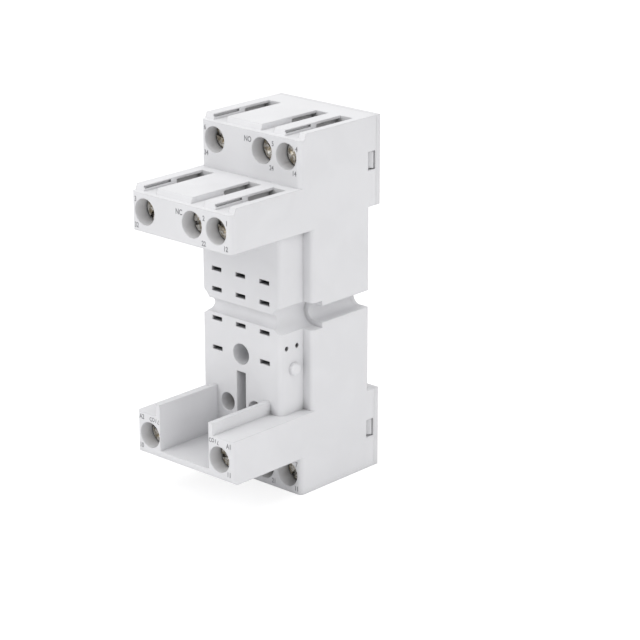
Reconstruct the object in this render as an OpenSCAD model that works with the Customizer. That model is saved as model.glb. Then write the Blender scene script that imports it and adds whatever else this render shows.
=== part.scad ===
/* [Body] */
// Overall width, side to side
body_w = 27; // [26.5:0.5:30]
// Overall height, standing on the common terminals
body_h = 75; // [74:0.5:80]
// Overall depth, from the foremost terminals to the rear face
body_d = 43; // [42:0.5:50]
// Depth of the upper and the lowest terminal tier, up to the rear face
mid_depth = 23.5; // [22.5:0.25:24.5]
// Depth of the body beside the relay seat, up to the rear face
ledge_depth = 20; // [19:0.25:21]
// Radius of the upright front corners
corner_r = 1; // [0.5:0.1:1.3]

/* [Terminal tiers] */
// Height of the upper tier, for the normally open contacts
no_tier_h = 10.8; // [9.5:0.1:12]
// Height of the second tier, for the normally closed contacts
nc_tier_h = 9; // [8.5:0.1:10]
// Height of the lowest tier, for the common contacts
com_tier_h = 8; // [7.8:0.1:8.4]
// Distance from the outermost screw axes to the sides of the body
terminal_margin = 3.75; // [3.5:0.05:3.9]
// Screw axis below the top of the two upper tiers
upper_axis_drop = 4.85; // [4.7:0.05:5]
// Screw axis above the underside of the common tier
com_axis_h = 3.9; // [3.8:0.05:4]
// Radius of a screw hole in the front of a tier
screw_hole_r = 2.7; // [2.65:0.05:2.9]
// Height of the raised blocks behind the front strip of a tier
step_h = 1.2; // [0.8:0.1:1.3]
// Depth of the low front strip of a tier
step_l = 1.2; // [1:0.1:3]
// Slope on the front ends of the raised blocks
step_slope = 0.5; // [0.2:0.1:0.8]
// Width of the wire grooves and wire entries
groove_w = 3.4; // [2.8:0.1:3.6]
// Distance of the wire grooves to the right of their screws
groove_shift = 0.4; // [0:0.1:0.5]
// Start of a wire entry behind the front of its tier
entry_start = 10.2; // [9.8:0.1:11]
// Length of a wire entry, front to back
entry_l = 7; // [6:0.1:7.5]
// Thickness of the edge round a wire entry
entry_lip = 0.55; // [0.4:0.05:0.8]
// Length of the marker slots beside the wire grooves
marker_l = 7; // [5:0.1:7.5]
// Height of a marker slot
marker_h = 0.5; // [0.4:0.05:0.6]
// Depth of a marker slot
marker_depth = 0.4; // [0.3:0.05:0.5]

/* [Relay seat] */
// Width of the seat that the relay stands on
seat_w = 21.8; // [21:0.1:23]
// Depth from the seat to the rear face
seat_depth = 26.6; // [25.6:0.1:27.4]
// Distance between pin columns
pin_pitch = 6.6; // [6.4:0.05:6.8]
// Height of the coil pin row
coil_row_z = 27.8; // [27.4:0.1:28.2]
// Rise from the coil pins to the common pins
com_row_rise = 6.3; // [6.2:0.05:6.5]
// Rise from the common pins to the normally open pins
no_row_rise = 6.2; // [6.1:0.05:6.6]
// Rise from the normally open pins to the normally closed pins
nc_row_rise = 4.3; // [4:0.05:4.6]
// Width of a pin slot
slot_w = 2.7; // [2.3:0.1:3]
// Height of a pin slot
slot_h = 0.9; // [0.7:0.05:1]
// Radius of the panel screw hole between the coil pins
panel_hole_r = 2.2; // [1.8:0.05:2.3]
// Width of the upright key slot
key_w = 2.5; // [2:0.1:2.6]
// Height of the key slot
key_h = 12.2; // [10:0.1:12.4]
// Depth of the key slot
key_depth = 7; // [4:0.5:8]
// Radius of the retainer stud on each side of the seat
stud_r = 1.3; // [1:0.1:1.5]
// Length of the retainer stud
stud_l = 1.1; // [0.8:0.1:1.4]
// Radius of the small blind holes in the sides of the seat
side_hole_r = 0.5; // [0.4:0.05:0.7]

/* [Coil arms and module bay] */
// Height of a coil arm
arm_h = 9.2; // [9:0.1:9.6]
// Height of the screw axis above the underside of an arm
arm_axis_h = 4.7; // [4.6:0.05:4.8]
// Wall between the module bay and the clamp chambers in the arms
bay_wall = 0.45; // [0.4:0.05:0.8]
// Thickness of the plate that joins the arms
bay_floor_t = 2; // [1.5:0.1:2.5]
// Thickness of the guide wall along each arm
guide_t = 1.2; // [1:0.1:1.3]
// Height of the guide walls above the arms
guide_h = 2.6; // [1.5:0.1:3.5]
// Radius along the lower front edge of the arms
arm_edge_r = 1.5; // [0.8:0.1:1.8]
// Radius of a module contact hole
module_hole_r = 1.9; // [1.85:0.05:2]
// Distance between the two module contact holes
module_pitch = 7.7; // [7.4:0.1:8]
// Height of the module contact holes
module_z = 16.9; // [16.7:0.1:17.2]

/* [Retainer groove] */
// Height of the axis of the groove round the seat
groove_z = 37.15; // [37:0.05:37.3]
// Radius of the groove in the sides of the seat
groove_r = 2.8; // [2.4:0.1:2.8]
// Depth of the groove's axis below the side faces of the body
groove_inset = 2.1; // [1.9:0.1:2.4]
// Radius of the channel that leads from the groove to the rear face
channel_r = 1.75; // [1.5:0.05:1.8]
// Length of the groove behind the front of the ledge
pocket_l = 2.8; // [2:0.1:4]
// Radius of the groove across the front of the seat
front_groove_r = 1.45; // [1.2:0.05:1.5]
// Height of the front groove below the side grooves
front_groove_drop = 0.35; // [0.2:0.05:0.4]

/* [Screws and clamps] */
// Diameter of the screw thread
thread_d = 3; // [2.5:0.1:3.2]
// Advance of the clamp in one turn of the screw
thread_step = 0.5; // [0.35:0.05:0.6]
// Thickness of the screw head
head_t = 1.8; // [1.5:0.1:2.2]
// Depth of the screw head below the front of its tier
head_recess = 2.8; // [2:0.1:3.2]
// Width of the screwdriver slot
driver_slot_w = 0.8; // [0.6:0.05:1]
// Outer width of a clamp
clamp_w = 4.6; // [4.4:0.05:4.8]
// Outer height of a clamp
clamp_h = 4.6; // [4.4:0.05:5]
// Thickness of the clamp's side walls
clamp_side_t = 0.7; // [0.6:0.05:0.8]
// Thickness of the clamp's threaded wall
clamp_nut_t = 1.2; // [1:0.1:1.4]
// Thickness of the clamp's rear wall
clamp_jaw_t = 1; // [0.8:0.1:1.2]
// Room for a wire in the open clamp
wire_gap = 3.4; // [3:0.1:3.5]

/* [Contacts] */
// Thickness of the contact metal
metal_t = 0.8; // [0.6:0.05:0.9]
// Front face of a contact's clamping tab behind the front of its tier
tab_start = 10.6; // [10.4:0.05:11]
// Half width of the tab inside the clamp
tab_half_w = 1.4; // [1.2:0.05:1.5]
// Half width of the front contacts' uprights
front_half_w = 1.1; // [0.9:0.05:1.2]
// Half width of the rear contacts' uprights
rear_half_w = 1.6; // [1.5:0.05:1.7]
// Front end of the forks behind the seat
fork_start = 3.4; // [3.3:0.1:4]
// Thickness of a fork leaf
leaf_t = 0.4; // [0.3:0.05:0.45]
// Space between the two leaves of a fork
leaf_gap = 0.6; // [0.5:0.05:0.65]
// Wall thickness of a module contact sleeve
sleeve_t = 0.4; // [0.3:0.05:0.5]

/* [Rail mounting] */
// Height of the lower edge of the rail recess
rail_z = 17.1; // [16.8:0.1:17.6]
// Height of the rail recess
rail_gap = 39.35; // [38.8:0.05:40]
// Depth of the rail recess
rail_depth = 3.4; // [3:0.1:3.6]
// Thickness of the base plate
plate_t = 1.2; // [1:0.1:1.3]
// Height of the mounting rail
rail_h = 35; // [34.9:0.1:35.1]
// Thickness of the mounting rail
rail_t = 1; // [0.9:0.05:1.1]
// Width of the sliding latch
latch_w = 9; // [7:0.5:9.5]
// Thickness of the sliding latch
latch_t = 1.5; // [1.3:0.05:1.6]
// Way that the latch slides down to free the rail
latch_travel = 2.6; // [2:0.1:3]
// Diameter of the latch spring
spring_d = 2.3; // [2:0.1:2.4]
// Diameter of the spring wire
spring_wire_d = 0.3; // [0.25:0.05:0.4]
// Turns of the latch spring
spring_turns = 6; // [5:1:7]

/* [Hidden] */

ROUND = 48;
ARC_STEPS = 5;
EPS = 0.01;
CUT = 1;
// Clearances: around a fixed piece, around a sliding piece, in a thread and around a moving clamp
fit_gap = 0.1;
slide_gap = 0.05;
thread_gap = 0.05;
clamp_gap = 0.2;
clamp_lift = 0.3;

// Fronts of the tiers, from the rear face
mid_setback = body_d - mid_depth;
ledge_setback = body_d - ledge_depth;
seat_setback = body_d - seat_depth;

// Tiers, from the top down
nc_top = body_h - no_tier_h;
nc_bottom = nc_top - nc_tier_h;
arm_bottom = com_tier_h;
arm_top = arm_bottom + arm_h;
bay_floor = arm_bottom + bay_floor_t;

// Screw axes
no_z = body_h - upper_axis_drop;
nc_z = nc_top - upper_axis_drop;
arm_z = arm_bottom + arm_axis_h;
com_z = com_axis_h;
outer_x = body_w / 2 - terminal_margin;
pole_x = [-outer_x, outer_x / 3, outer_x];
spare_x = -outer_x / 3;
coil_x = [outer_x, -outer_x];

// Relay pins
pin_x = [-pin_pitch, 0, pin_pitch];
coil_pin_x = [pin_pitch, -pin_pitch];
com_row_z = coil_row_z + com_row_rise;
no_row_z = com_row_z + no_row_rise;
nc_row_z = no_row_z + nc_row_rise;

// Sides of the seat
side_hole_start = 1.8;
side_hole_pitch = 3;
side_hole_drop = 2.9;
side_hole_y = [seat_setback + side_hole_start, seat_setback + side_hole_start + side_hole_pitch];
side_hole_z = com_row_z - side_hole_drop;
side_hole_depth = 1;
stud_start = 3.7;
stud_drop = 1.2;
stud_y = seat_setback + stud_start;
stud_z = coil_row_z - stud_drop;
stud_edge = 0.5;

// Retainer groove, and the lip above the marker slots
groove_axis_x = body_w / 2 - groove_inset;
pocket_end = ledge_setback + pocket_l;
marker_lip = 0.2;
marker_start = 0.3;

// Screw and clamp, measured behind the front of a tier
head_r = screw_hole_r - fit_gap;
chamber_start = head_recess + head_t + fit_gap;
chamber_w = clamp_w + 2 * clamp_gap;
chamber_h = clamp_h + 2 * clamp_lift;
tab_end = tab_start + metal_t;
jaw_start = tab_end + wire_gap;
bay_w = 2 * (outer_x - chamber_w / 2 - bay_wall);
nut_start = tab_start - clamp_gap - clamp_nut_t;
screw_tip = tab_start - slide_gap;

head_edge = 0.3;
cross_share = 0.6;
tooth = 0.3;

// Contacts
housing_wall = 1.6;
front_upright_y = ledge_setback + housing_wall;
rear_upright_y = mid_setback + tab_start;
fork_y = seat_setback + fork_start;
run_offset = chamber_h / 2 + slide_gap;
tab_reach = 2;
upper_jog = 1.5;
upper_jog_z = nc_bottom - upper_jog;
coil_jog_h = 2;
panel_hole_rise = 0.2;
panel_hole_wall = 1.1;
panel_hole_z = coil_row_z + panel_hole_rise;
lane_clear = panel_hole_r + panel_hole_wall;
lane_x = [pole_x[0], lane_clear + rear_half_w + fit_gap, pole_x[2]];
fork_half_h = leaf_gap / 2 + leaf_t;
fork_margin = 0.3;
upright_end = fork_half_h + fork_margin;
leaf_inset = 0.15;
sleeve_r = module_hole_r - 3 * fit_gap;
lane_jog = 2;
sleeve_jog = 3;

// Rear of the body
plate_y = body_d - plate_t;
rail_floor_y = body_d - rail_depth;
panel_y = rail_floor_y - plate_t;
rail_top = rail_z + rail_gap;
plate_half_w = pole_x[2] + chamber_w / 2 - slide_gap;
block_wall = 1.5;
block_half_w = latch_w / 2 + block_wall;

// Rail, with play before and behind it, and the lips that grip its upper edge
rail_play = 0.2;
rail_edge_gap = 0.25;
lip_w = 5;
lip_grip = 1.9;
lip_end_z = rail_top - rail_edge_gap - lip_grip;
rail_low_edge = rail_top - rail_edge_gap - rail_h;

// Latch, with a nose that grips the lower edge of the rail
nose_grip = 1.2;
nose_cut_t = 0.7;
nose_cut_h = 1.6;
latch_y = rail_floor_y + rail_t + rail_play;
latch_end = latch_y + latch_t;
latch_top = rail_low_edge + nose_grip;
latch_foot = 0.6;
flange_w = 0.7;
flange_t = 0.6;
flange_foot = latch_foot + 1;
flange_top = 14;
pull_slot_half_w = 2.2;
pull_slot_z = 1.8;
pull_slot_h = 1.4;

// Spring, sunk in the channel floor and in a groove in the latch
spring_gap = 0.15;
spring_room = spring_d / 2 + spring_gap;
spring_sink = 0.85;
spring_y = latch_y - spring_sink;
spring_low = 4;
pusher_z = 11.6;
pusher_h = 1.4;
wire_sides = 8;
wire_steps = 12;

// Snap tabs of the base plate and their windows
window_x = plate_half_w;
window_inset = 3.55;
window_y = body_d - window_inset;
window_l = 2.1;
window_h = 3.8;
window_rise = [1.7, 0.7];
window_z = [nc_top + window_rise[0], com_tier_h + window_rise[1]];
snap_t = 1;
snap_gap = 0.15;
snap_room = 0.3;
snap_front = 0.2;
barb_t = 0.3;
barb_inset = 0.25;

HOUSING_GREY = [0.83, 0.83, 0.85];
PLATE_GREY = [0.76, 0.76, 0.78];
LATCH_GREY = [0.35, 0.36, 0.38];
STEEL = [0.72, 0.71, 0.69];
ZINC = [0.78, 0.78, 0.76];
BRASS = [0.80, 0.70, 0.45];

function arc(cx, cy, r, from, to) =
    [for (i = [0:ARC_STEPS]) let (a = from + (to - from) * i / ARC_STEPS) [cx + r * cos(a), cy + r * sin(a)]];

// Outline of a strip that follows a path of [x, z] points from its lower end to its upper end
function band(path, half_w, grow) =
    let (
        last = len(path) - 1,
        rise = [for (i = [0:last]) path[i][1] + (i == 0 ? -grow : i == last ? grow : 0)]
    )
    concat(
        [for (i = [0:last]) [path[i][0] - half_w - grow, rise[i]]],
        [for (i = [last:-1:0]) [path[i][0] + half_w + grow, rise[i]]]
    );

// The body is drawn from its front backwards, then centred over its depth
module placed() {
    translate([0, -body_d / 2, 0]) children();
}

// Box between two corners
module box(low, high) {
    translate(low) cube(high - low);
}

// Round bar along the depth
module rod(x, z, y0, y1, r) {
    translate([x, y0, z]) rotate([-90, 0, 0]) cylinder(h = y1 - y0, r = r, $fn = ROUND);
}

// Outline in the width and height, extruded over a stretch of the depth
module upright(points, y0, y1) {
    translate([0, y1, 0]) rotate([90, 0, 0]) linear_extrude(height = y1 - y0) polygon(points);
}

// Outline in the depth and height, extruded across the width
module across(points, half_w) {
    translate([-half_w, 0, 0]) rotate([90, 0, 90]) linear_extrude(height = 2 * half_w) polygon(points);
}

// Block whose two upright front corners are round
module tier(w, y0, y1, z0, z1) {
    translate([0, 0, z0]) linear_extrude(height = z1 - z0) polygon(concat(
        [[w / 2, y1], [-w / 2, y1]],
        arc(-w / 2 + corner_r, y0 + corner_r, corner_r, 180, 270),
        arc(w / 2 - corner_r, y0 + corner_r, corner_r, 270, 360)
    ));
}

// ---- Housing ----

module housing_mass() {
    tier(body_w, mid_setback, plate_y, nc_top, body_h);
    tier(body_w, 0, plate_y, nc_bottom, nc_top);
    tier(body_w, ledge_setback, plate_y, arm_top, nc_bottom);
    tier(body_w, mid_setback, plate_y, 0, com_tier_h);
    tier(seat_w, seat_setback, ledge_setback + CUT, bay_floor, nc_bottom);
    retainer_studs();
    coil_arms();
}

module coil_arms() {
    difference() {
        union() {
            tier(body_w, 0, plate_y, arm_bottom, arm_top);
            for (side = [-1, 1]) guide_wall(side);
        }
        box([-bay_w / 2, -CUT, bay_floor], [bay_w / 2, seat_setback, arm_top + guide_h + CUT]);
        arm_edge_cut();
    }
}

module guide_wall(side) {
    inner = side * (bay_w / 2 - CUT);
    outer = side * (bay_w / 2 + guide_t);
    box([min(inner, outer), 0, arm_bottom], [max(inner, outer), seat_setback + corner_r, arm_top + guide_h]);
}

// Takes the lower front edge of the arms off to a radius
module arm_edge_cut() {
    edge = arc(arm_edge_r, arm_bottom + arm_edge_r, arm_edge_r, 180, 270);
    across(concat([[arm_edge_r, arm_bottom - CUT], [-CUT, arm_bottom - CUT], [-CUT, arm_bottom + arm_edge_r]], edge),
        body_w);
}

// Low front strip, wire grooves and marker slots in the top of an upper tier
module tier_top_cut(y0, top) {
    low = top - step_h;
    across([
        [y0 - CUT, low],
        [y0 + step_l, low],
        [y0 + step_l + step_slope, top],
        [y0 + step_l + step_slope, top + CUT],
        [y0 - CUT, top + CUT]
    ], body_w);
    for (x = pole_x) groove_box(x, y0, y0 + entry_start + entry_l, low, top + CUT);
    for (x = [pole_x[0], pole_x[2]]) marker_slot(x + groove_shift - groove_w / 2, y0 + step_l + marker_start, top);
}

module groove_box(x, y0, y1, z0, z1) {
    box([x + groove_shift - groove_w / 2, y0, z0], [x + groove_shift + groove_w / 2, y1, z1]);
}

module marker_slot(wall_x, y0, top) {
    box([wall_x - marker_depth, y0, top - marker_lip - marker_h], [wall_x + EPS, y0 + marker_l, top - marker_lip]);
}

// Screw hole, clamp chamber open to the rear, and wire entry through the face on one side
module terminal_cut(x, z, y0, face_z) {
    up = sign(face_z - z);
    lip_z = face_z - up * entry_lip;
    entry_y = y0 + entry_start;
    rod(x, z, y0 - CUT, y0 + chamber_start + EPS, screw_hole_r);
    chamber_cut(x, z, y0);
    groove_box(x, entry_y, entry_y + entry_l, min(z, face_z + up * CUT), max(z, face_z + up * CUT));
    box([x - chamber_w / 2, entry_y, min(z, lip_z)], [x + chamber_w / 2, entry_y + entry_l, max(z, lip_z)]);
}

module chamber_cut(x, z, y0) {
    box([x - chamber_w / 2, y0 + chamber_start, z - chamber_h / 2],
        [x + chamber_w / 2, body_d, z + chamber_h / 2]);
}

module terminal_cuts() {
    for (x = pole_x) {
        terminal_cut(x, no_z, mid_setback, body_h);
        terminal_cut(x, nc_z, 0, nc_top);
        terminal_cut(x, com_z, mid_setback, 0);
    }
    for (x = coil_x) terminal_cut(x, arm_z, 0, arm_bottom);
    for (z = [no_z, nc_z, com_z]) chamber_cut(spare_x, z, mid_setback);
}

module pin_slot(x, z) {
    box([x - slot_w / 2, seat_setback - CUT, z - slot_h / 2], [x + slot_w / 2, fork_y, z + slot_h / 2]);
}

module seat_cuts() {
    for (x = pin_x, z = [nc_row_z, no_row_z, com_row_z]) pin_slot(x, z);
    for (x = coil_pin_x) pin_slot(x, coil_row_z);
    rod(0, panel_hole_z, seat_setback - CUT, body_d, panel_hole_r);
    box([-key_w / 2, seat_setback - CUT, bay_floor + bay_floor_t],
        [key_w / 2, seat_setback + key_depth, bay_floor + bay_floor_t + key_h]);
    for (side = [-1, 1]) rod(side * module_pitch / 2, module_z, seat_setback - CUT, front_upright_y, module_hole_r);
}

// Groove for the relay retainer: across the front of the seat, and round-bottomed along both sides of it
module retainer_cuts() {
    translate([-body_w / 2, seat_setback, groove_z - front_groove_drop]) rotate([0, 90, 0])
        cylinder(h = body_w, r = front_groove_r, $fn = ROUND);
    for (side = [0, 1]) mirror([side, 0, 0]) side_groove(groove_r, seat_setback - CUT, pocket_end);
    retainer_channels();
}

// Channels that carry the groove on to the rear face
module retainer_channels() {
    for (side = [0, 1]) mirror([side, 0, 0]) side_groove(channel_r, pocket_end - EPS, body_d + CUT);
}

module side_groove(r, y0, y1) {
    rod(groove_axis_x, groove_z, y0, y1, r);
    box([groove_axis_x, y0, groove_z - r], [body_w / 2 + CUT, y1, groove_z + r]);
}

// Two small blind holes in each side of the seat, below the groove
module side_holes() {
    for (side = [0, 1], y = side_hole_y) mirror([side, 0, 0])
        translate([seat_w / 2 - side_hole_depth, y, side_hole_z]) rotate([0, 90, 0])
            cylinder(h = side_hole_depth + CUT, r = side_hole_r, $fn = ROUND / 2);
}

// Pivot stud with a round end on each side of the seat, for the relay retainer
module retainer_studs() {
    for (side = [0, 1]) mirror([side, 0, 0])
        translate([seat_w / 2 - CUT, stud_y, stud_z]) rotate([0, 90, 0]) rotate_extrude($fn = ROUND) polygon(concat(
            [[0, 0], [stud_r, 0]],
            arc(stud_r - stud_edge, CUT + stud_l - stud_edge, stud_edge, 0, 90),
            [[0, CUT + stud_l]]
        ));
}

// Room for the base plate, its guide block, its snap tabs and the rail
module rear_cuts() {
    box([-plate_half_w - slide_gap, panel_y, rail_z - plate_t], [plate_half_w + slide_gap, body_d, rail_top + plate_t]);
    box([-body_w, rail_floor_y, rail_z], [body_w, body_d, rail_top]);
    box([-block_half_w - slide_gap, panel_y, -CUT], [block_half_w + slide_gap, body_d, rail_z]);
    for (side = [0, 1], z = window_z) mirror([side, 0, 0]) {
        box([window_x - snap_t - snap_room, window_y - snap_front - snap_gap, z - window_h / 2],
            [window_x + fit_gap, body_d, z + window_h / 2]);
        box([window_x, window_y, z - window_h / 2], [body_w, window_y + window_l, z + window_h / 2]);
    }
}

module housing() {
    color(HOUSING_GREY) placed() difference() {
        housing_mass();
        tier_top_cut(mid_setback, body_h);
        tier_top_cut(0, nc_top);
        terminal_cuts();
        seat_cuts();
        retainer_cuts();
        side_holes();
        rear_cuts();
        for (i = [0:2]) {
            no_contact_shape(i, true);
            nc_contact_shape(i, true);
            com_contact_shape(i, true);
        }
        for (i = [0:1]) coil_contact_shape(i, true);
    }
}

// ---- Contacts: with cut set, each shape is the room that its contact slides into from the rear ----

module strip(path, half_w, y0, cut) {
    grow = cut ? fit_gap : 0;
    upright(band(path, half_w, grow), y0 - grow, cut ? body_d : y0 + metal_t);
}

module run(x, z0, y0, y1, half_w, cut) {
    grow = cut ? fit_gap : 0;
    box([x - half_w - grow, y0 - grow, z0 - grow], [x + half_w + grow, y1 + grow, z0 + metal_t + grow]);
}

// Two leaves that grip a relay pin
module fork(x, z, upright_y, cut) {
    half_w = slot_w / 2 - leaf_inset;
    if (cut) {
        box([x - half_w - fit_gap, fork_y - EPS, z - fork_half_h - fit_gap],
            [x + half_w + fit_gap, upright_y, z + fork_half_h + fit_gap]);
    } else {
        for (side = [-1, 1]) {
            leaf_z = z + side * (leaf_gap + leaf_t) / 2;
            box([x - half_w, fork_y, leaf_z - leaf_t / 2], [x + half_w, upright_y + EPS, leaf_z + leaf_t / 2]);
        }
    }
}

module no_contact_shape(i, cut) {
    strip([
        [pin_x[i], no_row_z - upright_end],
        [pin_x[i], nc_row_z + upright_end],
        [pole_x[i], upper_jog_z],
        [pole_x[i], no_z - chamber_h / 2]
    ], rear_half_w, rear_upright_y, cut);
    tab(pole_x[i], no_z - chamber_h / 2 - EPS, no_z + tab_reach, rear_upright_y, cut);
    fork(pin_x[i], no_row_z, rear_upright_y, cut);
}

// Narrow end of a contact, gripped in the clamp
module tab(x, z0, z1, y0, cut) {
    if (!cut) box([x - tab_half_w, y0, z0], [x + tab_half_w, y0 + metal_t, z1]);
}

module nc_contact_shape(i, cut) {
    run_z = nc_z - run_offset - metal_t;
    tab(pole_x[i], run_z, nc_z + tab_reach, tab_start, cut);
    run(pole_x[i], run_z, tab_start, front_upright_y + metal_t, tab_half_w, cut);
    strip([
        [pin_x[i], nc_row_z - upright_end],
        [pin_x[i], nc_row_z + upright_end],
        [pole_x[i], upper_jog_z],
        [pole_x[i], run_z + metal_t]
    ], front_half_w, front_upright_y, cut);
    fork(pin_x[i], nc_row_z, front_upright_y, cut);
}

module com_contact_shape(i, cut) {
    jog_z = panel_hole_z + lane_clear;
    lane_z = com_z + chamber_h / 2;
    tab(pole_x[i], com_z - tab_reach, lane_z + EPS, rear_upright_y, cut);
    strip([
        [pole_x[i], lane_z],
        [lane_x[i], lane_z + lane_jog],
        [lane_x[i], jog_z],
        [pin_x[i], com_row_z - upright_end],
        [pin_x[i], com_row_z + fork_half_h]
    ], rear_half_w, rear_upright_y, cut);
    fork(pin_x[i], com_row_z, rear_upright_y, cut);
}

module coil_contact_shape(i, cut) {
    run_z = arm_z + run_offset;
    side = sign(coil_x[i]);
    sleeve_x = side * module_pitch / 2;
    tab(coil_x[i], arm_z - tab_reach, run_z + metal_t, tab_start, cut);
    run(coil_x[i], run_z, tab_start, front_upright_y + metal_t, tab_half_w, cut);
    strip([
        [coil_x[i], run_z],
        [coil_x[i], module_z + sleeve_jog],
        [coil_pin_x[i], coil_row_z - coil_jog_h],
        [coil_pin_x[i], coil_row_z + upright_end]
    ], front_half_w, front_upright_y, cut);
    strip([[(sleeve_x + coil_x[i]) / 2, run_z], [(sleeve_x + coil_x[i]) / 2, module_z + sleeve_r]],
        abs(coil_x[i] - sleeve_x) / 2 + front_half_w, front_upright_y, cut);
    fork(coil_pin_x[i], coil_row_z, front_upright_y, cut);
    if (!cut) module_sleeve(sleeve_x);
}

module module_sleeve(x) {
    difference() {
        rod(x, module_z, fork_y, front_upright_y + EPS, sleeve_r);
        rod(x, module_z, fork_y - CUT, front_upright_y - EPS, sleeve_r - sleeve_t);
    }
}

module no_contact(i) {
    color(BRASS) placed() no_contact_shape(i, false);
}

module nc_contact(i) {
    color(BRASS) placed() nc_contact_shape(i, false);
}

module com_contact(i) {
    color(BRASS) placed() com_contact_shape(i, false);
}

module coil_contact(i) {
    color(BRASS) placed() coil_contact_shape(i, false);
}

// ---- Screws and clamps ----

// Captive terminal screw with a slot and a cross in its head
module terminal_screw(x, z, y0) {
    edge = head_edge;
    shank_l = screw_tip - head_recess;
    color(STEEL) placed() translate([x, y0 + head_recess, z]) rotate([-90, 0, 0]) difference() {
        rotate_extrude($fn = ROUND) polygon([
            [0, 0],
            [head_r - edge, 0],
            [head_r, edge],
            [head_r, head_t],
            [thread_d / 2, head_t],
            [thread_d / 2, shank_l - edge],
            [thread_d / 2 - edge, shank_l],
            [0, shank_l]
        ]);
        translate([0, 0, head_t / 4]) {
            cube([2 * (head_r - head_edge), driver_slot_w, head_t / 2 + EPS], center = true);
            cube([driver_slot_w, 2 * head_r * cross_share, head_t / 2 + EPS], center = true);
        }
    }
}

// Box clamp: the threaded wall rides on the screw and the rear wall draws the wire against the contact
module terminal_clamp(x, z, y0) {
    color(ZINC) placed() translate([x, y0, z]) difference() {
        box([-clamp_w / 2, nut_start, -clamp_h / 2], [clamp_w / 2, jaw_start + clamp_jaw_t, clamp_h / 2]);
        box([clamp_side_t - clamp_w / 2, nut_start + clamp_nut_t, -clamp_h],
            [clamp_w / 2 - clamp_side_t, jaw_start, clamp_h]);
        rod(0, 0, nut_start - CUT, nut_start + clamp_nut_t + EPS, thread_d / 2 + thread_gap);
        jaw_teeth();
    }
}

// Shallow grooves across the jaw that hold the wire
module jaw_teeth() {
    for (k = [-2:2]) {
        translate([0, jaw_start, k * 2 * tooth]) rotate([45, 0, 0])
            cube([clamp_w - 2 * clamp_side_t, tooth, tooth], center = true);
    }
}

// ---- Base plate and rail latch ----

module base_plate() {
    color(PLATE_GREY) placed() difference() {
        union() {
            box([-plate_half_w, panel_y, rail_z - plate_t], [plate_half_w, rail_floor_y, rail_top + plate_t]);
            box([-plate_half_w, panel_y, rail_top], [plate_half_w, body_d, rail_top + plate_t]);
            box([-plate_half_w, panel_y, rail_z - plate_t], [plate_half_w, body_d, rail_z]);
            box([-body_w / 2, plate_y, rail_top], [body_w / 2, body_d, body_h]);
            box([-body_w / 2, plate_y, 0], [body_w / 2, body_d, rail_z]);
            box([-block_half_w, panel_y, 0], [block_half_w, body_d, rail_z]);
            for (side = [0, 1]) mirror([side, 0, 0]) {
                rail_lip();
                for (z = window_z) snap_tab(z);
            }
        }
        latch_channel();
        retainer_channels();
        rod(0, panel_hole_z, panel_y - CUT, body_d, panel_hole_r);
    }
}

// Fixed lip that hooks behind the upper edge of the rail
module rail_lip() {
    box([latch_w / 2, latch_y, lip_end_z], [latch_w / 2 + lip_w, body_d, rail_top + EPS]);
}

module snap_tab(z) {
    half_h = window_h / 2 - snap_gap;
    barb_x = body_w / 2 - barb_inset;
    barb_end = window_y + window_l - snap_gap;
    box([window_x - snap_t, window_y - snap_front, z - half_h], [window_x, plate_y + EPS, z + half_h]);
    translate([0, 0, z - half_h]) linear_extrude(height = 2 * half_h) polygon([
        [window_x - EPS, window_y + snap_gap],
        [barb_x, barb_end - barb_t],
        [barb_x, barb_end],
        [window_x - EPS, barb_end]
    ]);
}

module latch_channel() {
    half_w = latch_w / 2 + fit_gap;
    box([-half_w, latch_y - fit_gap, -CUT], [half_w, body_d + CUT, rail_z + CUT]);
    box([-half_w - flange_w, latch_y - fit_gap, -CUT], [half_w + flange_w, latch_y + flange_t + fit_gap, flange_top]);
    box([-spring_room, spring_y - spring_room, spring_low], [spring_room, latch_y, pusher_z + pusher_h + fit_gap]);
}

// Sliding latch: its nose grips the lower edge of the rail and a screwdriver in its slot pulls it down
module rail_latch() {
    color(LATCH_GREY) placed() difference() {
        union() {
            box([-latch_w / 2, latch_y, latch_foot], [latch_w / 2, latch_end, latch_top]);
            box([-latch_w / 2 - flange_w, latch_y, flange_foot],
                [latch_w / 2 + flange_w, latch_y + flange_t, flange_top - slide_gap]);
            box([-spring_d / 2, spring_y - spring_d / 2, pusher_z], [spring_d / 2, latch_y + EPS, pusher_z + pusher_h]);
        }
        box([-spring_room, latch_y - CUT, spring_low], [spring_room, spring_y + spring_room, pusher_z]);
        box([-pull_slot_half_w, latch_y - CUT, pull_slot_z],
            [pull_slot_half_w, latch_end + CUT, pull_slot_z + pull_slot_h]);
        across([
            [latch_end - nose_cut_t, latch_top + CUT],
            [latch_end - nose_cut_t, latch_top],
            [latch_end, latch_top - nose_cut_h],
            [latch_end + CUT, latch_top - nose_cut_h],
            [latch_end + CUT, latch_top + CUT]
        ], latch_w);
    }
}

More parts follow.
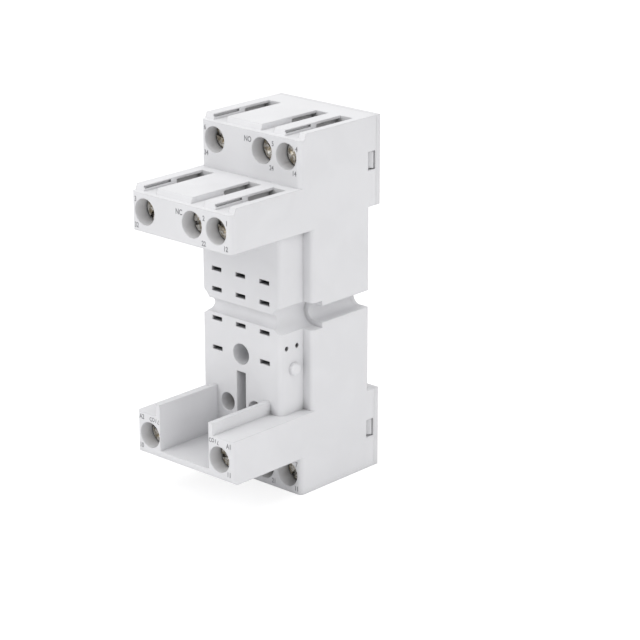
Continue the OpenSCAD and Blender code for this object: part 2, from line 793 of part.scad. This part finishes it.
// Compression spring: a helix swept as rings of a round wire section
module latch_spring() {
    wire_r = spring_wire_d / 2;
    coil_r = spring_d / 2 - wire_r;
    low = spring_low + slide_gap + wire_r;
    high = pusher_z - slide_gap - wire_r;
    rings = spring_turns * wire_steps;
    points = [
        for (i = [0:rings], k = [0:wire_sides - 1])
            let (
                turn = 360 * i / wire_steps,
                around = 360 * k / wire_sides,
                r = coil_r + wire_r * cos(around)
            )
            [r * cos(turn), r * sin(turn), low + (high - low) * i / rings + wire_r * sin(around)]
    ];
    walls = [
        for (i = [0:rings - 1], k = [0:wire_sides - 1], half = [0, 1])
            let (
                a = i * wire_sides + k,
                b = i * wire_sides + (k + 1) % wire_sides
            )
            half == 0 ? [a, b, b + wire_sides] : [a, b + wire_sides, a + wire_sides]
    ];
    ends = [
        [for (k = [wire_sides - 1:-1:0]) k],
        [for (k = [0:wire_sides - 1]) rings * wire_sides + k]
    ];
    color(STEEL) placed() translate([0, spring_y, 0]) polyhedron(points, concat(walls, ends));
}

// ---- Nodes ----

housing();
base_plate();
rail_latch();
latch_spring();
terminal_screw(pole_x[0], no_z, mid_setback);  // no1_screw
terminal_clamp(pole_x[0], no_z, mid_setback);  // no1_clamp
no_contact(0);  // no1_contact
terminal_screw(pole_x[1], no_z, mid_setback);  // no2_screw
terminal_clamp(pole_x[1], no_z, mid_setback);  // no2_clamp
no_contact(1);  // no2_contact
terminal_screw(pole_x[2], no_z, mid_setback);  // no3_screw
terminal_clamp(pole_x[2], no_z, mid_setback);  // no3_clamp
no_contact(2);  // no3_contact
terminal_screw(pole_x[0], nc_z, 0);  // nc1_screw
terminal_clamp(pole_x[0], nc_z, 0);  // nc1_clamp
nc_contact(0);  // nc1_contact
terminal_screw(pole_x[1], nc_z, 0);  // nc2_screw
terminal_clamp(pole_x[1], nc_z, 0);  // nc2_clamp
nc_contact(1);  // nc2_contact
terminal_screw(pole_x[2], nc_z, 0);  // nc3_screw
terminal_clamp(pole_x[2], nc_z, 0);  // nc3_clamp
nc_contact(2);  // nc3_contact
terminal_screw(pole_x[0], com_z, mid_setback);  // com1_screw
terminal_clamp(pole_x[0], com_z, mid_setback);  // com1_clamp
com_contact(0);  // com1_contact
terminal_screw(pole_x[1], com_z, mid_setback);  // com2_screw
terminal_clamp(pole_x[1], com_z, mid_setback);  // com2_clamp
com_contact(1);  // com2_contact
terminal_screw(pole_x[2], com_z, mid_setback);  // com3_screw
terminal_clamp(pole_x[2], com_z, mid_setback);  // com3_clamp
com_contact(2);  // com3_contact
terminal_screw(coil_x[0], arm_z, 0);  // a1_screw
terminal_clamp(coil_x[0], arm_z, 0);  // a1_clamp
coil_contact(0);  // a1_contact
terminal_screw(coil_x[1], arm_z, 0);  // a2_screw
terminal_clamp(coil_x[1], arm_z, 0);  // a2_clamp
coil_contact(1);  // a2_contact
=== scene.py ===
import math
import bpy
import bmesh
from mathutils import Matrix, Vector


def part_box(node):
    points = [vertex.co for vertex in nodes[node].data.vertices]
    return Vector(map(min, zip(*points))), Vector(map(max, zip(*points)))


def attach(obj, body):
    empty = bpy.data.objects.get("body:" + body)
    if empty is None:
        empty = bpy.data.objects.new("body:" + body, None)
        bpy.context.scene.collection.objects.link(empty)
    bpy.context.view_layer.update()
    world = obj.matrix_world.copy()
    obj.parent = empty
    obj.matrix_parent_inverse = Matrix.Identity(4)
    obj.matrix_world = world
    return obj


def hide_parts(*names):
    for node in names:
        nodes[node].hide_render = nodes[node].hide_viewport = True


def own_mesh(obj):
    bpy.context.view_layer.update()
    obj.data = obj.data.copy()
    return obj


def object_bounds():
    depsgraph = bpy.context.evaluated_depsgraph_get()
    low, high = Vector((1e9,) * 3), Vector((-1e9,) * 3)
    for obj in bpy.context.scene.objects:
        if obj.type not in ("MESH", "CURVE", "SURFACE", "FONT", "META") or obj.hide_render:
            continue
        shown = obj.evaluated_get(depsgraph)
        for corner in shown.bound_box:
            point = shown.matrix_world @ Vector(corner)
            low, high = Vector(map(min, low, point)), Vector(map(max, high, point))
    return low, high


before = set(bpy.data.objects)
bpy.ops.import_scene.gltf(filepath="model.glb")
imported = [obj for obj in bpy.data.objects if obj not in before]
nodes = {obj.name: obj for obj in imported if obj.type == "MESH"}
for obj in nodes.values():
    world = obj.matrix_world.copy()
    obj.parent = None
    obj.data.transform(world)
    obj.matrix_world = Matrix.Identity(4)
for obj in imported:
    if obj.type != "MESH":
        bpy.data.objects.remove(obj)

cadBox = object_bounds()
mm = 0.001  # every length below is written in millimetres
terminals = ["no1", "no2", "no3", "nc1", "nc2", "nc3", "com1", "com2", "com3", "a1", "a2"]
print("frame loaded:", len(nodes), "nodes")


# ---------- shared helpers

def hexColour(code):
    channels = [int(code[i:i + 2], 16) / 255 for i in (1, 3, 5)]
    return [c / 12.92 if c <= 0.04045 else ((c + 0.055) / 1.055) ** 2.4 for c in channels] + [1.0]


def perSize(size):
    return 1.0 / (size * mm)  # texture scale for a pattern of that size


def addNode(owner, kind, settings=None, values=None, links=None):
    # owner is a material or the world
    node = owner.node_tree.nodes.new("ShaderNode" + kind)
    for name, value in (settings or {}).items():
        setattr(node, name, value)
    for name, value in (values or {}).items():
        node.inputs[name].default_value = value
    for name, source in (links or {}).items():
        owner.node_tree.links.new(source, node.inputs[name])
    return node


def newMaterial(name):
    material = bpy.data.materials.new(name)
    material.use_nodes = True
    material.node_tree.nodes.clear()
    return material


def setRamp(ramp, span, low, high):
    # runs from the low colour to the high one between the two ends of the span
    for element, end, colour in zip(ramp.color_ramp.elements, span, (low, high)):
        element.position = end
        element.color = hexColour(colour)


def paintCavityShade(material, colour, look):
    # painted shade: narrow deep openings get a darker base colour than the lamps alone would give
    # their clean walls
    near = addNode(material, "AmbientOcclusion", settings={"samples": 6},
                   values={"Distance": look["cavityShadeReach"] * mm})
    depth = addNode(material, "MapRange", values={"From Min": 0.1, "From Max": 0.5},
                    links={"Value": near.outputs["AO"]})
    shade = addNode(material, "MixRGB", links={"Fac": depth.outputs["Result"]},
                    values={"Color1": hexColour(look["cavityShadeColour"]), "Color2": hexColour("#FFFFFF")})
    return addNode(material, "MixRGB", settings={"blend_type": "MULTIPLY"}, values={"Fac": 1.0},
                   links={"Color1": colour, "Color2": shade.outputs["Color"]}).outputs["Color"]


def wear(piece, material):
    piece.data.materials.clear()
    piece.data.materials.append(material)


def asMesh(name, bm):
    mesh = bpy.data.meshes.new(name)
    bm.to_mesh(mesh)
    bm.free()
    return mesh


def evaluatedMesh(thing):
    graph = bpy.context.evaluated_depsgraph_get()
    return bpy.data.meshes.new_from_object(thing.evaluated_get(graph))


def addObject(name, data):
    thing = bpy.data.objects.new(name, data)
    bpy.context.scene.collection.objects.link(thing)
    return thing


def meshPiece(name, bm, material, body):
    piece = addObject(name, asMesh(name, bm))
    wear(piece, material)
    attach(piece, body)
    return piece


# ---------- materials

# the cavity colour and its reach paint shade into narrow hollows
polyamideLook = {
    "colour": "#DADADC", "shade": "#D7D7D9", "cavityShadeColour": "#464649", "cavityShadeReach": 3.0,
    "mottle": 9, "mottleSpan": (0.38, 0.62), "grain": 0.28, "grainDepth": 0.006,
    "ripple": 6, "rippleDepth": 0.02, "rough": (0.42, 0.56), "ior": 1.53, "edgeRound": 0.3,
}
basePlateColours = {"colour": "#D5D5D7", "shade": "#D2D2D4"}
latchColours = {"colour": "#54565B", "shade": "#4A4C51", "rough": (0.38, 0.52)}


# Polyamide 66, injection-moulded in a spark-eroded tool: satin, with a very fine grain and faint
# flow marks. The real grain is about 0.03 mm, and it is drawn coarser so that it shows.
def mouldedPolyamide(name, look):
    material = newMaterial(name)
    place = addNode(material, "TexCoord").outputs["Object"]
    flow = addNode(material, "TexNoise", links={"Vector": place},
                   values={"Scale": perSize(look["mottle"]), "Detail": 3.0, "Roughness": 0.45,
                           "Distortion": 0.6})
    grain = addNode(material, "TexNoise", links={"Vector": place},
                    values={"Scale": perSize(look["grain"]), "Detail": 2.0, "Roughness": 0.6})
    sink = addNode(material, "TexNoise", links={"Vector": place},
                   values={"Scale": perSize(look["ripple"]), "Detail": 1.0})
    tone = addNode(material, "ValToRGB", links={"Fac": flow.outputs["Fac"]})
    setRamp(tone, look["mottleSpan"], look["shade"], look["colour"])
    gloss = addNode(material, "MapRange", links={"Value": grain.outputs["Fac"]},
                    values={"From Min": 0.3, "From Max": 0.7, "To Min": look["rough"][0],
                            "To Max": look["rough"][1]})
    edge = addNode(material, "Bevel", settings={"samples": 6},
                   values={"Radius": look["edgeRound"] * mm})
    wavy = addNode(material, "Bump",
                   values={"Strength": 0.35, "Distance": look["rippleDepth"] * mm},
                   links={"Height": sink.outputs["Fac"], "Normal": edge.outputs["Normal"]})
    skin = addNode(material, "Bump",
                   values={"Strength": 0.5, "Distance": look["grainDepth"] * mm},
                   links={"Height": grain.outputs["Fac"], "Normal": wavy.outputs["Normal"]})
    # the base colour is darkened by the painted shade in hollows
    shader = addNode(material, "BsdfPrincipled", values={"IOR": look["ior"]},
                     links={"Base Color": paintCavityShade(material, tone.outputs["Color"], look),
                            "Roughness": gloss.outputs["Result"], "Normal": skin.outputs["Normal"]})
    addNode(material, "OutputMaterial", links={"Surface": shader.outputs["BSDF"]})
    return material


# the cavity colours and their reach paint shade into hollows, such as the screws' cross recess
metalShared = {"cavityShadeReach": 1.3, "patchSpan": (0.4, 0.6), "stretch": (1.0, 0.12, 1.0)}
# bright zinc with warm stains, dull zinc, warm brass under thin tin (drawn darker than clean brass,
# as painted shade for the deep pin slots), and grey drawn steel
metalLook = {
    "zincPlatedScrewSteel": {"colour": "#F8F6F1", "tint": "#B9AE98", "cavityShadeColour": "#2C2820",
                             "rough": (0.16, 0.36), "patch": 0.7, "lines": 0.08, "depth": 0.004},
    "zincPlatedClampSheet": {"colour": "#8F8D88", "tint": "#77736B", "cavityShadeColour": "#3C3A36",
                             "rough": (0.3, 0.48), "patch": 2.4, "lines": 0.12, "depth": 0.006},
    "tinnedContactBrass": {"colour": "#A8966E", "tint": "#8A7650", "cavityShadeColour": "#3E372A",
                           "rough": (0.26, 0.4), "patch": 3.5, "lines": 0.15, "depth": 0.004},
    "drawnSpringWire": {"colour": "#8E8C86", "tint": "#6F6B63", "cavityShadeColour": "#55524C",
                        "rough": (0.3, 0.42), "patch": 1.0, "lines": 0.06, "depth": 0.003},
}


# Plated or rolled metal: fine tool lines in the bump, and a coat whose tint and gloss change in
# patches. The lines are drawn coarser than the real ones so that they show.
def platedMetal(name):
    look = {**metalShared, **metalLook[name]}
    material = newMaterial(name)
    place = addNode(material, "TexCoord").outputs["Object"]
    patch = addNode(material, "TexNoise", links={"Vector": place},
                    values={"Scale": perSize(look["patch"]), "Detail": 4.0, "Roughness": 0.55})
    drawn = addNode(material, "Mapping", values={"Scale": look["stretch"]}, links={"Vector": place})
    lines = addNode(material, "TexNoise", links={"Vector": drawn.outputs["Vector"]},
                    values={"Scale": perSize(look["lines"]), "Detail": 2.0})
    tone = addNode(material, "ValToRGB", links={"Fac": patch.outputs["Fac"]})
    setRamp(tone, look["patchSpan"], look["tint"], look["colour"])
    gloss = addNode(material, "MapRange", links={"Value": patch.outputs["Fac"]},
                    values={"From Min": 0.3, "From Max": 0.7, "To Min": look["rough"][0],
                            "To Max": look["rough"][1]})
    skin = addNode(material, "Bump", values={"Strength": 0.6, "Distance": look["depth"] * mm},
                   links={"Height": lines.outputs["Fac"]})
    # the base colour is darkened by the painted shade in hollows
    shader = addNode(material, "BsdfPrincipled", values={"Metallic": 1.0},
                     links={"Base Color": paintCavityShade(material, tone.outputs["Color"], look),
                            "Roughness": gloss.outputs["Result"], "Normal": skin.outputs["Normal"]})
    addNode(material, "OutputMaterial", links={"Surface": shader.outputs["BSDF"]})
    return material


inkLook = {"colour": "#6E6E72", "thin": "#88888B", "speckle": 0.25, "span": (0.35, 0.6),
           "rough": 0.6}


# Pad-printing ink: a thin matt grey coat that is a little uneven.
def printedInk(name):
    material = newMaterial(name)
    place = addNode(material, "TexCoord").outputs["Object"]
    speckle = addNode(material, "TexNoise", links={"Vector": place},
                      values={"Scale": perSize(inkLook["speckle"]), "Detail": 2.0})
    tone = addNode(material, "ValToRGB", links={"Fac": speckle.outputs["Fac"]})
    setRamp(tone, inkLook["span"], inkLook["thin"], inkLook["colour"])
    shader = addNode(material, "BsdfPrincipled", values={"Roughness": inkLook["rough"]},
                     links={"Base Color": tone.outputs["Color"]})
    addNode(material, "OutputMaterial", links={"Surface": shader.outputs["BSDF"]})
    return material


housingPolyamide = mouldedPolyamide("lightGreyMouldedPolyamide", polyamideLook)
basePolyamide = mouldedPolyamide("basePlateMouldedPolyamide", {**polyamideLook, **basePlateColours})
latchPolyamide = mouldedPolyamide("darkGreyMouldedPolyamide", {**polyamideLook, **latchColours})
screwSteel, clampSheet, contactBrass, springWire = [platedMetal(name) for name in metalLook]
greyInk = printedInk("greyPadPrintingInk")

wear(nodes["housing"], housingPolyamide)
wear(nodes["base_plate"], basePolyamide)
wear(nodes["rail_latch"], latchPolyamide)
wear(nodes["latch_spring"], springWire)
for terminal in terminals:
    wear(nodes[terminal + "_screw"], screwSteel)
    wear(nodes[terminal + "_clamp"], clampSheet)
    wear(nodes[terminal + "_contact"], contactBrass)
print("materials made:", len(bpy.data.materials))


# ---------- terminal screws, with a cross and a slot in the head and a real thread on the shank

screwLook = {
    "headRadius": 2.6, "headHeight": 1.8, "rimRound": 0.32, "rimSteps": 6, "rimBack": 0.1,
    "dome": 0.2, "domeMiddle": (0.5, 0.3), "neckRound": 0.15, "tip": 0.3, "steps": 48,
    "crossWidth": 0.9, "crossReach": 1.75, "crossDepth": 1.2, "crossTaper": 0.4, "crossNarrow": 0.6,
    "slotWidth": 0.8, "slotDepth": 0.75, "overshoot": 0.3,
    "edgeSoft": 0.1, "softAbove": 40, "sharpAbove": 35,
    "shankRadius": 1.5, "threadDepth": 0.32, "threadPitch": 0.5, "threadSteps": 20,
    "ridgeSunk": 0.03, "ridgeShape": (0.42, 0.54, 0.96), "threadGap": 0.4, "threadEnd": 0.2,
    "firstTurn": 12, "turn": 37,
}


def spun(bm, outline, steps):
    # outline of [radius, depth] points, turned about the Y axis
    points = [bm.verts.new((radius * mm, depth * mm, 0)) for radius, depth in outline]
    edges = [bm.edges.new(pair) for pair in zip(points, points[1:])]
    bmesh.ops.spin(bm, geom=points + edges, axis=(0, 1, 0), cent=(0, 0, 0), angle=2 * math.pi,
                   steps=steps, use_merge=True)
    bmesh.ops.remove_doubles(bm, verts=bm.verts, dist=0.001 * mm)


def screwBlank(look, length):
    r, h, corner, back = look["headRadius"], look["headHeight"], look["rimRound"], look["rimBack"]
    root, neck, tip = look["shankRadius"] - look["threadDepth"], look["neckRound"], look["tip"]
    angles = [math.radians(90 * k / look["rimSteps"]) for k in range(look["rimSteps"] + 1)]
    rim = [[r - corner + corner * math.sin(a), look["dome"] + corner - corner * math.cos(a)]
           for a in angles]
    top = [[0, 0], [r * look["domeMiddle"][0], look["dome"] * look["domeMiddle"][1]]]
    shank = [[root + neck, h], [root, h + neck], [root, length - tip], [root - tip, length],
             [0, length]]
    bm = bmesh.new()
    spun(bm, top + rim + [[r, h - back], [r - back, h]] + shank, look["steps"])
    bmesh.ops.recalc_face_normals(bm, faces=bm.faces)
    return bm


def driverCutter(look):
    # a tapered cross with a plain slot along one of its arms
    bm = bmesh.new()
    for turn in (0, 90):
        made = bmesh.ops.create_cube(bm, size=1.0)["verts"]
        for v in made:
            deep = v.co.y > 0
            reach = look["crossReach"] * (look["crossTaper"] if deep else 1.0)
            width = look["crossWidth"] * (look["crossNarrow"] if deep else 1.0) / 2
            v.co = Vector((math.copysign(reach, v.co.x),
                           look["crossDepth"] if deep else -look["overshoot"],
                           math.copysign(width, v.co.z))) * mm
        bmesh.ops.rotate(bm, verts=made, matrix=Matrix.Rotation(math.radians(turn), 3, "Y"),
                         cent=(0, 0, 0))
    slot = bmesh.ops.create_cube(bm, size=1.0)["verts"]
    for v in slot:
        v.co = Vector((math.copysign(look["headRadius"] + look["overshoot"], v.co.x),
                       look["slotDepth"] if v.co.y > 0 else -look["overshoot"],
                       math.copysign(look["slotWidth"] / 2, v.co.z))) * mm
    return bm


def threadRidge(look, start, end):
    # one ridge with a narrow flat top, wound round the shank
    pitch, steps = look["threadPitch"], look["threadSteps"]
    top, root = [radius - look["ridgeSunk"]
                 for radius in (look["shankRadius"], look["shankRadius"] - look["threadDepth"])]
    rise, fall, foot = [share * pitch for share in look["ridgeShape"]]
    turns = (end - start) / pitch - 1
    bm = bmesh.new()
    points = [bm.verts.new((radius * mm, (start + depth) * mm, 0))
              for radius, depth in ((root, 0), (top, rise), (top, fall), (root, foot))]
    section = bm.faces.new(points)
    bmesh.ops.spin(bm, geom=points + list(section.edges) + [section], axis=(0, -1, 0),
                   cent=(0, 0, 0), dvec=(0, pitch * mm / steps, 0), angle=2 * math.pi * turns,
                   steps=int(steps * turns), use_merge=False)
    bmesh.ops.recalc_face_normals(bm, faces=bm.faces)
    return bm


def makeScrewMesh(look, length):
    body = addObject("screwBlank", asMesh("screwBlank", screwBlank(look, length)))
    tool = addObject("driverCutter", asMesh("driverCutter", driverCutter(look)))
    cut = body.modifiers.new("driverRecess", "BOOLEAN")
    cut.operation, cut.solver, cut.object, cut.use_self = "DIFFERENCE", "EXACT", tool, True
    soften = body.modifiers.new("softEdges", "BEVEL")
    soften.width, soften.segments = look["edgeSoft"] * mm, 2
    soften.limit_method, soften.angle_limit = "ANGLE", math.radians(look["softAbove"])
    ready = evaluatedMesh(body)
    ridge = threadRidge(look, look["headHeight"] + look["threadGap"], length - look["threadEnd"])
    bm = bmesh.new()
    bm.from_mesh(ready)
    bm.from_mesh(asMesh("threadRidge", ridge))
    for face in bm.faces:
        face.smooth = True
    for edge in bm.edges:
        edge.smooth = edge.calc_face_angle(0) < math.radians(look["sharpAbove"])
    bm.to_mesh(ready)
    bm.free()
    for thing in (body, tool):
        bpy.data.objects.remove(thing)
    return ready


def screwHead(node):
    # centre of the head's front
    low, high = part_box(node)
    return Vector(((low.x + high.x) / 2, low.y, (low.z + high.z) / 2))


screwLow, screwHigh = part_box("no1_screw")
screwMesh = makeScrewMesh(screwLook, (screwHigh.y - screwLow.y) / mm)
for index, terminal in enumerate(terminals):
    node = terminal + "_screw"
    bm = bmesh.new()
    bm.from_mesh(screwMesh)
    turn = screwLook["firstTurn"] + screwLook["turn"] * index  # no two slots point the same way
    place = Matrix.Translation(screwHead(node)) @ Matrix.Rotation(math.radians(turn), 4, "Y")
    bmesh.ops.transform(bm, matrix=place, verts=bm.verts)
    screw = meshPiece(terminal + "TerminalScrew", bm, screwSteel, node)
    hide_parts(node)
print("terminal screws made:", len(terminals))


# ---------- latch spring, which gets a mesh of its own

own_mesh(nodes["latch_spring"])


# ---------- printed marks: plain numbers and terminal names

printLook = {
    "numberHeight": 1.0, "wordHeight": 1.1, "capShare": 0.7, "narrow": 0.8,
    "stroke": 0.03, "coat": 0.012, "lift": 0.004, "screwSunk": 2.8,
    "arcHeight": 0.85, "arcRadius": 4.0, "arcStep": 10.5, "arcMiddle": 1.2,
}
# for each terminal, the mark and its place across and up from the screw's centre
noMarks = {"no1": [("6", -2.6, 2.15), ("34", -2.35, -3.05)],
           "no2": [("NO", -3.8, 1.75), ("5", 2.95, 1.9), ("24", 2.6, -3.05)],
           "no3": [("4", 2.75, 1.85), ("14", 2.15, -3.1)]}
ncMarks = {"nc1": [("3", -2.55, 2.2), ("32", -2.35, -3.05)],
           "nc2": [("NC", -3.5, 1.85), ("2", 3.2, 1.85), ("22", 3.15, -3.2)],
           "nc3": [("1", 2.8, 2.0), ("12", 2.5, -3.1)]}
armMarks = {"a2": [("A2", -2.3, 3.45), ("10", -2.5, -2.75)],
            "a1": [("A1", 2.6, 3.35), ("11", 2.6, -2.6)]}
comMarks = {"com1": [("9", -2.6, 2.5), ("31", -2.5, -2.75)],
            "com2": [("8", 2.5, 2.5), ("21", 2.7, -2.75)],
            "com3": [("7", 2.5, 2.5), ("11", 2.5, -2.75)]}
coilWord = {"a2": (1.15, 3.5), "a1": (-1.6, 3.6)}  # top of the curved word over each coil screw


def textMesh(words, height):
    curve = bpy.data.curves.new("mark", "FONT")
    curve.body = words
    curve.size = height * mm / printLook["capShare"]  # capitals are lower than the font's size
    curve.align_x, curve.align_y = "CENTER", "CENTER"
    curve.extrude = printLook["coat"] * mm / 2
    curve.offset = printLook["stroke"] * mm
    holder = addObject("mark", curve)
    mesh = evaluatedMesh(holder)
    bpy.data.objects.remove(holder)
    return mesh


def addMark(bm, words, height, spot, lean=0.0):
    # a mark that faces the front, at a spot on the front face, leaning by some degrees
    mark = bmesh.new()
    mark.from_mesh(textMesh(words, height))
    upright = Matrix.Rotation(math.pi / 2, 4, "X") @ Matrix.Diagonal((printLook["narrow"], 1, 1, 1))
    place = Matrix.Translation(spot) @ Matrix.Rotation(math.radians(lean), 4, "Y") @ upright
    bmesh.ops.transform(mark, matrix=place, verts=mark.verts)
    bm.from_mesh(asMesh("mark", mark))


def addCoilWord(bm, screw, top):
    dx, dz = top
    for k, letter in enumerate("COIL"):
        lean = (k - printLook["arcMiddle"]) * printLook["arcStep"]
        across = printLook["arcRadius"] * math.sin(math.radians(lean))
        drop = printLook["arcRadius"] * (1 - math.cos(math.radians(lean)))
        spot = (screw.x + (dx + across) * mm, screw.y, screw.z + (dz - drop) * mm)
        addMark(bm, letter, printLook["arcHeight"], spot, lean)


def printTier(name, marks, front):
    bm = bmesh.new()
    for terminal, entries in marks.items():
        screw = screwHead(terminal + "_screw")
        screw.y = front - printLook["lift"] * mm
        for words, dx, dz in entries:
            height = printLook["wordHeight" if words in ("NO", "NC") else "numberHeight"]
            addMark(bm, words, height, (screw.x + dx * mm, screw.y, screw.z + dz * mm))
        if terminal in coilWord:
            addCoilWord(bm, screw, coilWord[terminal])
    meshPiece(name, bm, greyInk, "socket")


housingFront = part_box("housing")[0].y
upperFront = screwLow.y - printLook["screwSunk"] * mm
printTier("noTierPrint", noMarks, upperFront)
printTier("ncTierPrint", ncMarks, housingFront)
printTier("coilArmPrint", armMarks, housingFront)
printTier("comTierPrint", comMarks, upperFront)
print("marks printed")


# ---------- floor, light and camera

studio = {
    "floorColour": "#F4F4F5", "floorRough": 0.8, "floorGlow": 1.25, "glowShare": 0.6,
    "floorSize": 6000, "roomColour": "#FFFFFF", "roomLight": 0.62, "roomSeen": 1.0,
    "lampAim": (0, 0, 40),
}
lamps = {
    "keyLight": {"place": (-350, -750, 650), "size": 600, "power": 3.1},
    "fillLight": {"place": (850, -150, 450), "size": 600, "power": 2.1},
    "topLight": {"place": (0, 0, 950), "size": 700, "power": 3.2},
}
shot = {"place": (314.1, -326.9, 187.8), "aim": (10.48, 6.99, 34.61), "lens": 133.3,
        "sensor": 36.0, "clip": (10, 20000)}


def seenDirectly(owner):
    # 1 where the camera, a shiny surface or a clear one looks, and 0 where dull ones gather light
    ray = addNode(owner, "LightPath").outputs
    seen = ray["Is Camera Ray"]
    for other in ("Is Glossy Ray", "Is Transmission Ray"):
        seen = addNode(owner, "Math", settings={"operation": "MAXIMUM"},
                       links={0: seen, 1: ray[other]}).outputs["Value"]
    return seen


# White paper, on which the shadow still shows.
def paperFloor(name):
    material = newMaterial(name)
    shader = addNode(material, "BsdfPrincipled",
                     values={"Base Color": hexColour(studio["floorColour"]),
                             "Roughness": studio["floorRough"]})
    glow = addNode(material, "Emission", values={"Strength": studio["floorGlow"]})
    share = addNode(material, "Math", settings={"operation": "MULTIPLY"},
                    values={1: studio["glowShare"]}, links={0: seenDirectly(material)})
    paper = addNode(material, "MixShader", links={"Fac": share.outputs["Value"],
                                                  1: shader.outputs["BSDF"],
                                                  2: glow.outputs["Emission"]})
    addNode(material, "OutputMaterial", links={"Surface": paper.outputs["Shader"]})
    return material


def studioFloor():
    bm = bmesh.new()
    bmesh.ops.create_grid(bm, x_segments=1, y_segments=1, size=studio["floorSize"] * mm / 2)
    floor = addObject("floor", asMesh("floor", bm))
    wear(floor, paperFloor("palePaperFloor"))
    floor.location.z = cadBox[0].z


# A white room, whose light on dull surfaces is softer than it looks.
def studioRoom():
    world = bpy.data.worlds.new("studio")
    bpy.context.scene.world = world
    world.use_nodes = True
    world.node_tree.nodes.clear()
    level = addNode(world, "MapRange", links={"Value": seenDirectly(world)},
                    values={"To Min": studio["roomLight"], "To Max": studio["roomSeen"]})
    room = addNode(world, "Background", values={"Color": hexColour(studio["roomColour"])},
                   links={"Strength": level.outputs["Result"]})
    addNode(world, "OutputWorld", links={"Surface": room.outputs["Background"]})


def stand(name, data, place, aim):
    # puts a lamp or the camera in place, looking at the aim
    holder = addObject(name, data)
    holder.location = Vector(place) * mm
    holder.rotation_euler = (Vector(place) - Vector(aim)).to_track_quat("Z", "Y").to_euler()
    return holder


studioFloor()
studioRoom()
for name, lamp in lamps.items():
    light = bpy.data.lights.new(name, "AREA")
    light.shape, light.size, light.energy = "SQUARE", lamp["size"] * mm, lamp["power"]
    stand(name, light, lamp["place"], studio["lampAim"])

camera = bpy.data.cameras.new("camera")
camera.lens, camera.sensor_width = shot["lens"], shot["sensor"]
camera.clip_start, camera.clip_end = [distance * mm for distance in shot["clip"]]
bpy.context.scene.camera = stand("camera", camera, shot["place"], shot["aim"])
bpy.context.scene.view_settings.view_transform = "Standard"
print("floor, lights and camera placed")
